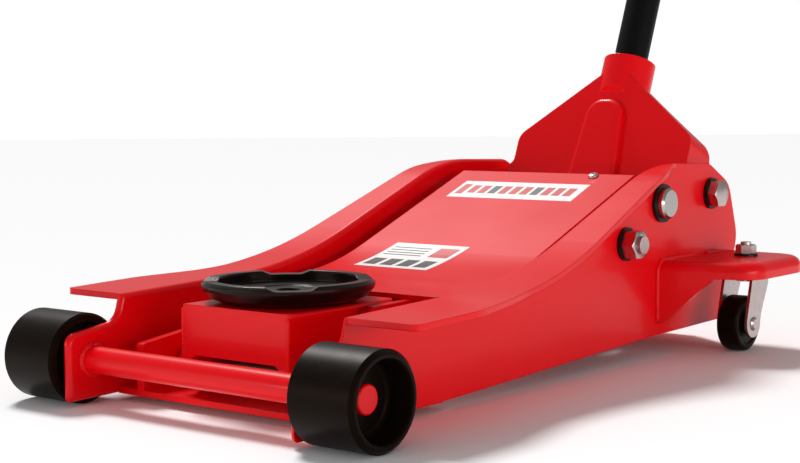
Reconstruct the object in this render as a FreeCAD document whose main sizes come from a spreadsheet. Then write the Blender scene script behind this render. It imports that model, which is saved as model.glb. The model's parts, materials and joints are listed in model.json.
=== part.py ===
"""Low-profile trolley jack (floor jack), built as a parametric FreeCAD document.

Lengths are in millimetres and angles in degrees. While the jack is being laid out, Y is measured
from the front axle and points to the rear, where the handle is; +X is the left side and +Z is up
from the floor. Each finished sub-part is then shifted along Y, so that the origin lies on the
floor at the middle of the whole jack's length.

How it works: the handle rocks the yoke about its two bolts, a roller on the yoke presses the pump
plunger, and the ram is pushed forward out of the cylinder. The crosshead on the ram pulls the
arm's crank forward through two traction bars, which swings the lift arm up about its shaft. Two
equaliser bars run parallel to the arm and keep the saddle head level.
"""
import FreeCAD, Part
import math
import os
from types import SimpleNamespace

import Sketcher
from FreeCAD import Placement, Rotation, Vector

os.makedirs("parts", exist_ok=True)
doc = FreeCAD.newDocument("trolley_jack")
sheet = doc.addObject("Spreadsheet::Sheet", "Sizes")

# Driving dimensions: name, value, meaning.
DIMENSIONS = [
    ("wheel_radius", 36, "front wheel, and height of the front axle"),
    ("wheel_width", 59, "front wheel"),
    ("wheel_outer_x", 183, "outer face of the front wheels from the mid-plane"),
    ("wheel_recess_radius", 29, "dished outer side of the front wheel"),
    ("wheel_recess_depth", 21, "dished outer side of the front wheel"),
    ("axle_radius", 10.8, "front axle bar"),
    ("axle_end_depth", 15.6, "axle end below the wheel's outer face"),
    ("bush_wall", 3.2, "bronze bush in the front wheel"),
    ("running_gap", 0.05, "radial clearance of a turning or sliding fit"),
    ("loose_gap", 0.2, "radial clearance of a fixed bolt or pin in its hole"),
    ("side_gap", 1.0, "gap between parts that turn side by side"),
    ("web_outer_x", 121, "outer face of the side plates"),
    ("plate_wall", 5, "side plates, brackets and cross members"),
    ("web_front_y", -24, "front edge of the side plates"),
    ("web_low_z", 4, "lower front corner of the side plates"),
    ("web_nose_z", 57, "upper front corner of the side plates"),
    ("web_rear_z", 22, "lower rear corner of the side plates"),
    ("web_rear_y", 592, "lower rear corner of the side plates"),
    ("tail_y", 625, "rearmost point of the side plates"),
    ("tail_z", 101, "height of the rearmost point"),
    ("deck_front_y", 32, "front end of the flange"),
    ("deck_front_z", 84.7, "top of the flange at its front end"),
    ("deck_knee_y", 234, "lower bend of the flange"),
    ("deck_knee_z", 90.9, "lower bend of the flange"),
    ("deck_brow_y", 458, "upper bend of the flange"),
    ("deck_brow_z", 178.5, "upper bend of the flange"),
    ("deck_end_y", 566, "top rear corner of the side plates"),
    ("deck_end_z", 175, "top rear corner of the side plates"),
    ("knee_radius", 450, "lower bend of the flange"),
    ("brow_radius", 200, "upper bend of the flange"),
    ("flange_wide_x", 185, "flange edge beside the saddle"),
    ("flange_mid_x", 165.5, "flange edge behind the saddle"),
    ("flange_slim_x", 145, "flange edge near the arm shaft"),
    ("bend_radius", 4.6, "outer radius of the bend between web and flange"),
    ("cover_half_width", 98, "cover plate of the lift arm"),
    ("cover_wall", 4, "cover plate of the lift arm"),
    ("cover_front_y", 172, "front edge of the cover plate"),
    ("cover_front_z", 83, "top of the cover plate at its front edge"),
    ("cover_knee_y", 266, "lower bend of the cover plate"),
    ("cover_knee_z", 88.9, "lower bend of the cover plate"),
    ("cover_knee_radius", 260, "lower bend of the cover plate"),
    ("cover_rear_y", 465, "rear edge of the cover plate"),
    ("cover_rear_z", 167.2, "top of the cover plate at its rear edge"),
    ("shaft_y", 475, "arm shaft"),
    ("shaft_z", 141.5, "arm shaft"),
    ("shaft_radius", 14.2, "arm shaft"),
    ("torque_tube_radius", 22.2, "tube of the lift arm round its shaft"),
    ("stud_y", 411, "rear pivot of the equaliser bars"),
    ("stud_z", 108.5, "rear pivot of the equaliser bars"),
    ("thread_radius", 8, "M16 studs and bolts"),
    ("yoke_y", 569, "pivot of the yoke"),
    ("yoke_z", 146, "pivot of the yoke"),
    ("cheek_x", 60, "inner face of the arm cheeks"),
    ("cheek_wall", 8, "arm cheeks"),
    ("head_pin_y", 135, "head pin"),
    ("head_pin_z", 62, "head pin"),
    ("head_pin_radius", 9, "head pin"),
    ("lift_angle", 76, "full swing of the lift arm"),
    ("crank_radius", 75, "crank of the lift arm"),
    ("crank_pin_radius", 9, "pins of the crank and of the crosshead"),
    ("traction_x", 46, "inner face of the traction bars"),
    ("bar_wall", 8, "traction bars and equaliser bars"),
    ("bar_length", 236, "crosshead pin to crank pin with the arm down"),
    ("ram_radius", 14, "ram"),
    ("piston_radius", 20, "piston of the ram"),
    ("tube_radius", 28, "outside of the oil reservoir"),
    ("tube_wall", 2.5, "reservoir and cylinder tubes"),
    ("tube_length", 186, "oil reservoir"),
    ("block_front_y", 516, "front face of the pump block"),
    ("block_rear_y", 606, "rear face of the pump block"),
    ("block_half_width", 42, "pump block"),
    ("block_top_z", 104, "pump block"),
    ("floor_plate_z", 32, "top of the plate under the pump block"),
    ("plunger_y", 594, "pump plunger"),
    ("plunger_radius", 7, "pump plunger"),
    ("plunger_top_z", 137, "top of the pump plunger"),
    ("roller_radius", 12, "roller that presses the plunger"),
    ("equaliser_x", 74, "inner face of the equaliser bars"),
    ("equaliser_half_height", 12, "equaliser bars"),
    ("head_half_width", 57, "saddle head"),
    ("head_front_y", 40.5, "front face of the saddle head"),
    ("head_rear_y", 163, "rear end of the saddle head"),
    ("head_top_z", 80.5, "top of the saddle head"),
    ("head_wall", 8, "walls of the saddle head"),
    ("saddle_y", 102, "centre of the saddle"),
    ("saddle_radius", 68.5, "rim of the saddle"),
    ("saddle_top_z", 98.5, "top of the rim, the lowest lifting height"),
    ("saddle_cup_radius", 57, "inside of the saddle's rim"),
    ("saddle_cup_depth", 9, "floor of the saddle below its rim"),
    ("post_radius", 14, "post under the saddle"),
    ("upstand_x", 86, "inner face of the upstands of the front cross member"),
    ("upstand_wall", 8, "upstands of the front cross member"),
    ("bracket_top_z", 88.5, "top of the caster brackets"),
    ("bracket_x", 208, "outer edge of the caster brackets"),
    ("bracket_lip", 15, "depth of the lip round the caster brackets"),
    ("bracket_skirt", 57.5, "depth of the front skirt at the side plates"),
    ("bracket_fold", 9, "rounded fold between the top and the lip"),
    ("caster_x", 162, "king pin of the casters"),
    ("caster_y", 563, "king pin of the casters"),
    ("caster_trail", 14, "king pin to wheel axle"),
    ("caster_radius", 26, "caster wheel"),
    ("caster_width", 23, "caster wheel"),
    ("fork_wall", 3, "caster fork"),
    ("caster_thread_radius", 5, "M10 king pin"),
    ("handle_tilt", 22, "lean of the handle to the rear"),
    ("handle_radius", 17.2, "handle tube"),
    ("handle_wall", 2.5, "handle tube"),
    ("handle_length", 1180, "yoke pivot to the end of the grip"),
    ("handle_seat", 62, "yoke pivot to the lower end of the handle tube"),
    ("handle_split", 640, "yoke pivot to the joint between the two handle tubes"),
    ("grip_length", 150, "hand grip"),
    ("grip_wall", 3.5, "hand grip"),
    ("grip_round", 6, "rounded end of the hand grip"),
    ("socket_radius", 26.5, "handle socket of the yoke"),
    ("socket_top", 138, "yoke pivot to the mouth of the socket"),
    ("yoke_half_width", 110, "yoke at its pivot"),
    ("shoulder_half_width", 101, "yoke at its shoulders"),
    ("shoulder_top", 50, "yoke pivot to the top of the shoulders"),
    ("hood_top", 120, "yoke pivot to the top of the hood"),
    ("hood_front", 22, "yoke pivot to the front face of the hood"),
    ("rib_front", 31, "yoke pivot to the front of the rib on the hood"),
]


class Size:
    """A dimension that carries both its number and its formula in terms of the sheet."""

    def __init__(self, value, formula):
        self.value = float(value)
        self.formula = formula

    def __add__(self, other):
        other = as_size(other)
        return Size(self.value + other.value, f"({self.formula} + {other.formula})")

    def __sub__(self, other):
        other = as_size(other)
        return Size(self.value - other.value, f"({self.formula} - {other.formula})")

    def __mul__(self, other):
        other = as_size(other)
        return Size(self.value * other.value, f"({self.formula} * {other.formula})")

    def __truediv__(self, other):
        other = as_size(other)
        return Size(self.value / other.value, f"({self.formula} / {other.formula})")

    def __neg__(self):
        return Size(-self.value, f"(0 - {self.formula})")

    def __radd__(self, other):
        return as_size(other) + self

    def __rsub__(self, other):
        return as_size(other) - self

    def __rmul__(self, other):
        return as_size(other) * self


def as_size(number):
    """Wrap a plain number; a Size passes through unchanged."""
    if isinstance(number, Size):
        return number
    return Size(number, f"({number:.9g})")


def sine(angle):
    """Sine of a Size in degrees."""
    return Size(math.sin(math.radians(angle.value)), f"sin({angle.formula} * 1 deg)")


def cosine(angle):
    """Cosine of a Size in degrees."""
    return Size(math.cos(math.radians(angle.value)), f"cos({angle.formula} * 1 deg)")


def fill_sheet():
    """Write the driving dimensions into the sheet and return them by name."""
    named = {}
    for row, (name, value, meaning) in enumerate(DIMENSIONS, start=1):
        sheet.set(f"A{row}", name)
        sheet.set(f"B{row}", str(value))
        sheet.set(f"C{row}", meaning)
        sheet.setAlias(f"B{row}", name)
        named[name] = Size(value, f"Sizes.{name}")
    doc.recompute()
    return SimpleNamespace(**named)


d = fill_sheet()

# Places worked out from the driving dimensions.
web_inner_x = d.web_outer_x - d.plate_wall
cheek_outer_x = d.cheek_x + d.cheek_wall
traction_outer_x = d.traction_x + d.bar_wall
equaliser_outer_x = d.equaliser_x + d.bar_wall
half_swing = d.lift_angle / 2
crank_y = d.shaft_y + d.crank_radius * sine(half_swing)
crank_z = d.shaft_z - d.crank_radius * cosine(half_swing)
crank_dip = d.crank_radius - d.crank_radius * cosine(half_swing)
ram_z = crank_z - crank_dip / 2
crosshead_y = crank_y - d.bar_length
link_y = d.head_pin_y + d.stud_y - d.shaft_y
link_z = d.head_pin_z + d.stud_z - d.shaft_z
tube_front_y = d.block_front_y - d.tube_length
caster_axle_y = d.caster_y - d.caster_trail
roller_y = d.plunger_y
roller_z = d.plunger_top_z + d.side_gap + d.roller_radius
grip_radius = d.handle_radius + d.grip_wall
rear_reach = (d.yoke_y + (d.handle_length - d.grip_round) * sine(d.handle_tilt)
              + (grip_radius - d.grip_round) * cosine(d.handle_tilt) + d.grip_round)
middle_y = (rear_reach - d.wheel_radius) / 2

ALONG_X = Rotation(Vector(0, 1, 0), 90)
ALONG_MINUS_X = Rotation(Vector(0, 1, 0), -90)
ALONG_Y = Rotation(Vector(1, 0, 0), -90)
UPRIGHT = Rotation()
SIDES = (("left", 1), ("right", -1))
HEX_NUT_HEIGHT = 13
HEX_FLATS_HALF = 12
HEX_CORNER = HEX_FLATS_HALF / math.cos(math.radians(30))
WASHER_WALL = 3
WASHER_RADIUS = 15
STUD_END = 3.5
PUMP_BOLT_RADIUS = 4

subparts = []


def outward(side):
    """Turn that points a piece's own Z axis away from the mid-plane."""
    return ALONG_X if side > 0 else ALONG_MINUS_X


def bind(thing, name, size):
    """Set one property of a thing by a formula of the sheet."""
    if isinstance(size, Size):
        thing.setExpression(name, size.formula)


def locate(thing, x, y, z, turn=UPRIGHT):
    """Place a thing at x, y, z of its parent's frame."""
    x, y, z = as_size(x), as_size(y), as_size(z)
    thing.Placement = Placement(Vector(x.value, y.value, z.value), turn)
    bind(thing, "Placement.Base.x", x)
    bind(thing, "Placement.Base.y", y)
    bind(thing, "Placement.Base.z", z)


def finish(thing, label, x=0, y=0, z=0, turn=UPRIGHT):
    """Name a sub-part and put it in the jack's frame."""
    thing.Label = label
    locate(thing, x, as_size(y) - middle_y, z, turn)
    subparts.append(thing)
    return thing


def new_body(name):
    return doc.addObject("PartDesign::Body", name + "_body")


def new_sketch(body, plane, offset=0):
    """Sketch on one of the body's own origin planes, moved along its normal."""
    offset = as_size(offset)
    sketch = body.newObject("Sketcher::SketchObject", body.Name + "_sketch")
    support = [item for item in body.Origin.OriginFeatures if item.Role == plane][0]
    sketch.AttachmentSupport = [(support, "")]
    sketch.MapMode = "FlatFace"
    sketch.AttachmentOffset = Placement(Vector(0, 0, offset.value), Rotation())
    bind(sketch, "AttachmentOffset.Base.z", offset)
    return sketch


def constrain(sketch, constraints):
    """Add constraints, given as (kind, geometry arguments, Size or None), and bind their values."""
    for kind, where, size in constraints:
        if size is None:
            sketch.addConstraint(Sketcher.Constraint(kind, *where))
            continue
        index = sketch.addConstraint(Sketcher.Constraint(kind, *where, size.value))
        bind(sketch, f"Constraints[{index}]", size)


def corner_turn(before, here, after):
    """Unit directions into and out of a corner, and the angle turned, left being positive."""
    into = (here - before).normalize()
    out = (after - here).normalize()
    turned = math.atan2(into.cross(out).z, into.dot(out))
    return into, out, turned


def draw_outline(sketch, corners):
    """Closed outline of straight runs. A corner's third value, if any, is its rounding radius."""
    sizes = [[as_size(value) for value in corner] for corner in corners]
    places = [Vector(size[0].value, size[1].value, 0) for size in sizes]
    count = len(places)
    starts, ends, arcs = [], [], []
    for index, here in enumerate(places):
        into, out, turned = corner_turn(places[index - 1], here, places[(index + 1) % count])
        radius = sizes[index][2].value if len(sizes[index]) > 2 else 0
        reach = radius * math.tan(abs(turned) / 2)
        first, last = here - into * reach, here + out * reach
        ends.append(first)
        starts.append(last)
        if not radius:
            arcs.append(None)
            continue
        left = turned > 0
        normal = Vector(-into.y, into.x, 0) * (radius if left else -radius)
        centre = first + normal
        begin, end = (first, last) if left else (last, first)
        angles = [math.atan2(point.y - centre.y, point.x - centre.x) for point in (begin, end)]
        circle = Part.Circle(centre, Vector(0, 0, 1), radius)
        arcs.append((Part.ArcOfCircle(circle, *angles), 1 if left else 2, 2 if left else 1))
    runs = [sketch.addGeometry(Part.LineSegment(starts[index], ends[(index + 1) % count]))
            for index in range(count)]
    constraints = []
    for index, here in enumerate(places):
        before, after = runs[index - 1], runs[index]
        across, up = sizes[index][0], sizes[index][1]
        if arcs[index] is None:
            constraints += [("Coincident", (before, 2, after, 1), None),
                            ("DistanceX", (after, 1), across),
                            ("DistanceY", (after, 1), up)]
            continue
        arc, arc_in, arc_out = arcs[index]
        bend = sketch.addGeometry(arc)
        point = sketch.addGeometry(Part.Point(here), True)
        constraints += [("PointOnObject", (point, 1, before), None),
                        ("PointOnObject", (point, 1, after), None),
                        ("DistanceX", (point, 1), across),
                        ("DistanceY", (point, 1), up),
                        ("Tangent", (before, 2, bend, arc_in), None),
                        ("Tangent", (bend, arc_out, after, 1), None),
                        ("Radius", (bend,), sizes[index][2])]
    constrain(sketch, constraints)


def draw_circle(sketch, across, up, radius):
    across, up, radius = as_size(across), as_size(up), as_size(radius)
    centre = Vector(across.value, up.value, 0)
    ring = sketch.addGeometry(Part.Circle(centre, Vector(0, 0, 1), radius.value))
    constrain(sketch, [("DistanceX", (ring, 3), across),
                       ("DistanceY", (ring, 3), up),
                       ("Radius", (ring,), radius)])


def add_feature(body, kind, sketch, length, reverse):
    length = as_size(length)
    feature = body.newObject(kind, body.Name + "_feature")
    feature.Profile = sketch
    feature.Length = length.value
    feature.Reversed = reverse
    bind(feature, "Length", length)
    return feature


def pad(body, plane, offset, length, draw, *shape, reverse=False):
    """Extrude an outline along the plane's normal, or against it if reverse is set."""
    sketch = new_sketch(body, plane, offset)
    draw(sketch, *shape)
    return add_feature(body, "PartDesign::Pad", sketch, length, reverse)


def pocket(body, plane, offset, length, draw, *shape, reverse=False):
    """Cut an outline against the plane's normal, or along it if reverse is set."""
    sketch = new_sketch(body, plane, offset)
    draw(sketch, *shape)
    return add_feature(body, "PartDesign::Pocket", sketch, length, reverse)


def turn_profile(body, corners):
    """Turn a profile, drawn as (radius, height), about the body's Z axis."""
    sketch = new_sketch(body, "XZ_Plane")
    draw_outline(sketch, corners)
    feature = body.newObject("PartDesign::Revolution", body.Name + "_turned")
    feature.Profile = sketch
    feature.ReferenceAxis = (sketch, ["V_Axis"])
    feature.Angle = 360
    return feature


def round_edges(body, radius, chosen, kind="PartDesign::Fillet"):
    """Round, or chamfer, the edges of the body so far that the function chosen picks."""
    doc.recompute()
    base = body.Tip
    names = [f"Edge{index}" for index, edge in enumerate(base.Shape.Edges, start=1) if chosen(edge)]
    if not names:
        raise RuntimeError(f"{body.Name}: no edge to round")
    feature = body.newObject(kind, body.Name + "_rounded")
    feature.Base = (base, names)
    size_name = "Radius" if kind.endswith("Fillet") else "Size"
    radius = as_size(radius)
    setattr(feature, size_name, radius.value)
    bind(feature, size_name, radius)
    return feature


def turned_part(label, corners, x=0, y=0, z=0, turn=UPRIGHT):
    """A whole sub-part that is one turned profile."""
    body = new_body(label)
    turn_profile(body, corners)
    return finish(body, label, x, y, z, turn)


def cylinder(radius, height, x=0, y=0, z=0, turn=UPRIGHT):
    radius, height = as_size(radius), as_size(height)
    rod = doc.addObject("Part::Cylinder", "rod")
    rod.Radius = radius.value
    rod.Height = height.value
    bind(rod, "Radius", radius)
    bind(rod, "Height", height)
    locate(rod, x, y, z, turn)
    return rod


def hexagon(corner_radius, height, x, y, z, turn):
    prism = doc.addObject("Part::Prism", "hexagon")
    prism.Polygon = 6
    prism.Circumradius = corner_radius
    prism.Height = height
    locate(prism, x, y, z, turn)
    return prism


def cut(base, tool):
    result = doc.addObject("Part::Cut", "cut")
    result.Base = base
    result.Tool = tool
    return result


def fuse(*pieces):
    result = doc.addObject("Part::MultiFuse", "fused")
    result.Shapes = list(pieces)
    result.Refine = True
    return result


def group(*pieces):
    """Identical separate pieces that share one node."""
    result = doc.addObject("Part::Compound", "group")
    result.Links = list(pieces)
    return result


def ring(outer, inner, height, x, y, z, turn):
    """Flat ring or tube, along its own Z axis from x, y, z."""
    return cut(cylinder(outer, height, x, y, z, turn), cylinder(inner, height, x, y, z, turn))


def deck_line(drop=0):
    """Side view of the flange's top from front to rear, lowered by drop."""
    return [(d.deck_front_y, d.deck_front_z - drop),
            (d.deck_knee_y, d.deck_knee_z - drop, d.knee_radius + drop),
            (d.deck_brow_y, d.deck_brow_z - drop, d.brow_radius - drop)]


def side_plate(label, side):
    """Web with its top edge bent outwards into the long S-shaped flange."""
    body = new_body(label)
    inner = web_inner_x * side
    web = [(d.web_front_y, d.web_low_z, 4), (d.deck_front_y + 120, d.web_low_z + 4),
           (d.web_rear_y - 128, d.web_rear_z - 2), (d.web_rear_y, d.web_rear_z, 12),
           (d.tail_y, d.tail_z, 30), (d.tail_y - 18, d.tail_z + 53, 26),
           (d.deck_end_y, d.deck_end_z, 26)]
    web += deck_line()[::-1]
    web += [(d.deck_front_y - 6, d.web_nose_z + 7, 14), (d.web_front_y, d.web_nose_z, 9)]
    pad(body, "YZ_Plane", inner, d.plate_wall, draw_outline, web, reverse=side < 0)
    end_y = d.shaft_y + 30
    fall = (d.deck_brow_z - d.deck_end_z) / (d.deck_end_y - d.deck_brow_y)
    end_z = d.deck_brow_z - fall * (end_y - d.deck_brow_y)
    top = deck_line() + [(end_y, end_z)]
    under = [(end_y, end_z - d.plate_wall)] + deck_line(d.plate_wall)[::-1]
    pad(body, "YZ_Plane", inner, d.flange_wide_x + 6 - web_inner_x, draw_outline, top + under,
        reverse=side < 0)
    waste_x = (d.flange_wide_x + 20) * side
    waste = [(waste_x, d.deck_front_y - 20), (waste_x, end_y + 20),
             (d.web_outer_x * side, end_y + 20), (d.web_outer_x * side, end_y - 8, 30),
             (d.flange_slim_x * side, d.shaft_y - 32, 60), (d.flange_mid_x * side, d.shaft_y - 283, 110),
             (d.flange_wide_x * side, d.deck_front_y + 76, 70),
             (d.flange_wide_x * side, d.deck_front_y + 2, 5),
             ((d.flange_wide_x - 14) * side, d.deck_front_y - 3),
             ((d.flange_wide_x - 14) * side, d.deck_front_y - 20)]
    pocket(body, "XY_Plane", d.deck_brow_z + 20, 130, draw_outline, waste)
    for y, z, radius in ((0, d.wheel_radius, d.axle_radius), (d.shaft_y, d.shaft_z, d.shaft_radius),
                         (d.stud_y, d.stud_z, d.thread_radius), (d.yoke_y, d.yoke_z, d.thread_radius)):
        pocket(body, "YZ_Plane", inner, d.plate_wall, draw_circle, y, z, radius + d.loose_gap,
               reverse=side > 0)

    def along_the_bend(edge):
        low, high = edge.BoundBox, edge.BoundBox
        flat = abs(low.XMin - inner.value) < 0.01 and abs(high.XMax - inner.value) < 0.01
        on_top = low.ZMin > d.deck_front_z.value - 1 and high.YMax < d.deck_end_y.value + 3
        return flat and on_top and edge.Length > 15

    round_edges(body, d.bend_radius, along_the_bend)
    return finish(body, label)


def front_axle():
    """Bar right across the jack; the wheels turn on its ends."""
    half = d.wheel_outer_x - d.axle_end_depth
    bar = [(0, -half), (d.axle_radius - 1, -half), (d.axle_radius, 1 - half), (d.axle_radius, half - 1),
           (d.axle_radius - 1, half), (0, half)]
    turned_part("front_axle", bar, 0, 0, d.wheel_radius, ALONG_X)


def front_wheel(side_name, side):
    """Dished solid wheel with a bronze bush pressed in its hub."""
    seat = d.axle_radius + d.bush_wall
    width, rim = d.wheel_width, d.wheel_radius
    floor = width - d.wheel_recess_depth
    bore = d.axle_radius + d.running_gap
    bush_end = floor - 3
    wheel = [(seat, 0), (seat + 6, 0), (seat + 8, 5), (rim - 9, 5, 1), (rim - 7, 0, 1), (rim - 2, 0),
             (rim, 2), (rim, width - 3), (rim - 3, width, 2.5), (d.wheel_recess_radius + 1, width, 1),
             (d.wheel_recess_radius, width - 2), (d.wheel_recess_radius - 2, floor, 4),
             (bore, floor), (bore, bush_end), (seat, bush_end)]
    inner = (d.wheel_outer_x - width) * side
    turned_part(side_name + "_front_wheel", wheel, inner, 0, rim, outward(side))
    bush = [(bore, 0), (seat, 0), (seat, bush_end), (bore, bush_end)]
    turned_part(side_name + "_wheel_bush", bush, inner, 0, rim, outward(side))


def cross_members():
    """Pressing that ties the side plates at the front, and the plate that carries the pump."""
    body = new_body("front_cross_member")
    low = d.web_low_z + 1.5
    pad(body, "YZ_Plane", -web_inner_x, 2 * web_inner_x, draw_outline,
        [(26, low), (150, low), (150, low + d.plate_wall), (26, low + d.plate_wall)])
    for side in (1, -1):
        near = d.upstand_x if side > 0 else -d.upstand_x - d.upstand_wall
        pad(body, "YZ_Plane", near, d.upstand_wall, draw_outline,
            [(26, low), (150, low), (150, low + 33, 8), (100, low + 51, 10), (26, low + 42, 3)])
    finish(body, "front_cross_member")
    body = new_body("pump_floor_plate")
    pad(body, "XY_Plane", d.floor_plate_z, 8, draw_outline,
        [(-web_inner_x, 500), (web_inner_x, 500), (web_inner_x, d.web_rear_y - 8),
         (70, d.block_rear_y + 6, 10), (-70, d.block_rear_y + 6, 10), (-web_inner_x, d.web_rear_y - 8)],
        reverse=True)
    for x, y in pump_bolt_places():
        pocket(body, "XY_Plane", d.floor_plate_z, 8, draw_circle, x, y, PUMP_BOLT_RADIUS + d.loose_gap)
    finish(body, "pump_floor_plate")


def pump_bolt_places():
    """The four bolts that hold the pump block down."""
    return [(x, d.block_front_y + y) for x in (-30, 30) for y in (14, 76)]


def caster_bracket(label, side):
    """Wing welded to the web: a flat top, a lip all round and a deeper skirt at the front."""
    body = new_body(label)
    root, edge = d.web_outer_x, d.bracket_x
    front = d.shaft_y - 8

    def outline(inset):
        corner = 34 - inset
        front_in, edge_in, rear_in = front + inset * 1.2, (edge - inset) * side, d.caster_y + 50 - inset
        return [(root * side, front_in), (edge_in, front_in + 27, 26 - inset), (edge_in, rear_in - 4, corner),
                (root * side, rear_in)]

    depth = d.bracket_skirt
    pad(body, "XY_Plane", d.bracket_top_z, depth, draw_outline, outline(as_size(0)), reverse=True)
    hollow = outline(d.plate_wall)
    hollow[0] = ((root - 1) * side, hollow[0][1])
    hollow[-1] = ((root - 1) * side, hollow[-1][1])
    pocket(body, "XY_Plane", d.bracket_top_z - d.plate_wall, depth, draw_outline, hollow)
    lip_z, low_z = d.bracket_top_z - d.bracket_lip, d.bracket_top_z - depth - 1
    trim = [(root + 4, low_z), (edge + 20, low_z), (edge + 20, lip_z), (root + 48, lip_z, 10)]
    trim = [(corner[0] * side, *corner[1:]) for corner in trim]
    pocket(body, "XZ_Plane", -(d.caster_y + 60), 180, draw_outline, trim, reverse=True)
    behind = [(root - 2, low_z), (edge + 20, low_z), (edge + 20, lip_z), (root - 2, lip_z)]
    behind = [(corner[0] * side, *corner[1:]) for corner in behind]
    pocket(body, "XZ_Plane", -(d.caster_y + 60), 100, draw_outline, behind, reverse=True)
    pocket(body, "XY_Plane", d.bracket_top_z, 10, draw_circle, d.caster_x * side, d.caster_y,
           d.caster_thread_radius + d.loose_gap)

    def top_rim(edge_):
        bounds = edge_.BoundBox
        outer = abs(bounds.XMax - bounds.XMin) > 0.5 or abs(abs(bounds.XMax) - edge.value) < 0.5
        flat = bounds.ZMin > d.bracket_top_z.value - 0.01
        return flat and outer and edge_.Length > 8 and not is_circle(edge_)

    round_edges(body, d.bracket_fold, top_rim)
    return finish(body, label)


def is_circle(edge):
    """True for a full circle."""
    return len(edge.Vertexes) == 1


def casters(side_name, side):
    """Fork with its ball race, wheel and rivet."""
    x, y = d.caster_x * side, caster_axle_y
    half = d.caster_width / 2 + 1.2
    axle_radius, axle_z = 4, d.caster_radius
    crown_z = d.bracket_top_z - d.bracket_lip - 2.5
    king_y = d.caster_trail
    body = new_body(side_name + "_caster_fork")
    reach = half + d.fork_wall
    pad(body, "XY_Plane", crown_z, d.fork_wall, draw_outline,
        [(-reach, -2), (reach, -2), (reach, king_y + 16, 12), (-reach, king_y + 16, 12)], reverse=True)
    foot = 13
    for near in (half, -reach):
        pad(body, "YZ_Plane", near, d.fork_wall, draw_outline,
            [(-2, crown_z), (-foot, axle_z + 4, 30), (-foot, axle_z - foot, foot - 0.1),
             (foot, axle_z - foot, foot - 0.1), (foot + 1, axle_z + 6, 30), (king_y + 16, crown_z - 8, 20),
             (king_y + 16, crown_z)])
    pocket(body, "YZ_Plane", reach + 1, 2 * reach + 2, draw_circle, 0, axle_z, axle_radius)
    race_z = d.bracket_top_z - d.plate_wall - 0.3
    race = new_sketch(body, "XY_Plane", crown_z - 0.5)
    draw_circle(race, 0, king_y, 15)
    add_feature(body, "PartDesign::Pad", race, race_z - crown_z + 0.5, False)
    pocket(body, "XY_Plane", race_z, 30, draw_circle, 0, king_y, d.caster_thread_radius + 0.1)
    finish(body, side_name + "_caster_fork", x, y, 0)
    bore = axle_radius + d.running_gap
    tread, width = d.caster_radius, d.caster_width
    wheel = [(bore, 0), (9, 0), (10, 2.5, 1), (tread - 7, 2.5, 1), (tread - 6, 1), (tread, 1, 4),
             (tread, width - 1, 4), (tread - 6, width - 1), (tread - 7, width - 2.5, 1),
             (10, width - 2.5, 1), (9, width), (bore, width)]
    turned_part(side_name + "_caster_wheel", wheel, x - width / 2, y, axle_z, ALONG_X)
    head = reach + 2
    rivet = [(0, -head), (4.5, -head, 1), (6.5, -reach - 0.5), (6.5, -reach), (axle_radius, -reach),
             (axle_radius, reach), (6.5, reach), (6.5, reach + 0.5), (4.5, head, 1), (0, head)]
    turned_part(side_name + "_caster_rivet", rivet, x, y, axle_z, ALONG_X)


def caster_fasteners():
    """King pins, their nuts and washers, the same on both sides."""
    pins, nuts, washers = [], [], []
    radius = d.caster_thread_radius
    pin_low = d.bracket_top_z - d.bracket_lip - 9
    for _, side in SIDES:
        x = d.caster_x * side
        pins.append(fuse(cylinder(radius, d.bracket_top_z + 13 - pin_low, x, d.caster_y, pin_low),
                         cylinder(9, 3, x, d.caster_y, pin_low)))
        washers.append(ring(11, radius + d.loose_gap, 2, x, d.caster_y, d.bracket_top_z, UPRIGHT))
        nuts.append(cut(hexagon(9.8, 8.5, x, d.caster_y, d.bracket_top_z + 2, UPRIGHT),
                        cylinder(radius + 0.01, 9, x, d.caster_y, d.bracket_top_z + 2)))
    finish(group(*pins), "caster_king_pins")
    finish(group(*washers), "caster_washers")
    finish(group(*nuts), "caster_nuts")


def plate_fasteners():
    """Studs of the equaliser bars and bolts of the yoke, with their washers and nuts."""
    studs, nuts, washers, bolts = [], [], [], []
    gap = d.thread_radius + d.loose_gap
    for _, side in SIDES:
        turn = outward(side)
        inner_end = d.equaliser_x - 2
        shoulder = equaliser_outer_x + d.side_gap
        tip = d.web_outer_x + WASHER_WALL + HEX_NUT_HEIGHT + STUD_END
        studs.append(fuse(
            cylinder(d.thread_radius, tip - inner_end, inner_end * side, d.stud_y, d.stud_z, turn),
            cylinder(14, web_inner_x - shoulder, shoulder * side, d.stud_y, d.stud_z, turn)))
        seat = d.web_outer_x * side
        for y, z in ((d.stud_y, d.stud_z), (d.yoke_y, d.yoke_z)):
            washers.append(ring(WASHER_RADIUS, gap, WASHER_WALL, seat, y, z, turn))
        face = (d.web_outer_x + WASHER_WALL) * side
        nut = hexagon(HEX_CORNER, HEX_NUT_HEIGHT, face, d.stud_y, d.stud_z, turn)
        hole = cylinder(d.thread_radius + 0.01, HEX_NUT_HEIGHT, face, d.stud_y, d.stud_z, turn)
        nuts.append(cut(nut, hole))
        bolt_end = d.web_outer_x - 40
        bolts.append(fuse(
            hexagon(HEX_CORNER, 10, face, d.yoke_y, d.yoke_z, turn),
            cylinder(d.thread_radius, d.web_outer_x + WASHER_WALL - bolt_end, bolt_end * side, d.yoke_y,
                     d.yoke_z, turn)))
    finish(group(*studs), "equaliser_studs")
    finish(group(*washers), "plate_washers")
    finish(group(*nuts), "equaliser_nuts")
    finish(group(*bolts), "yoke_bolts")


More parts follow.
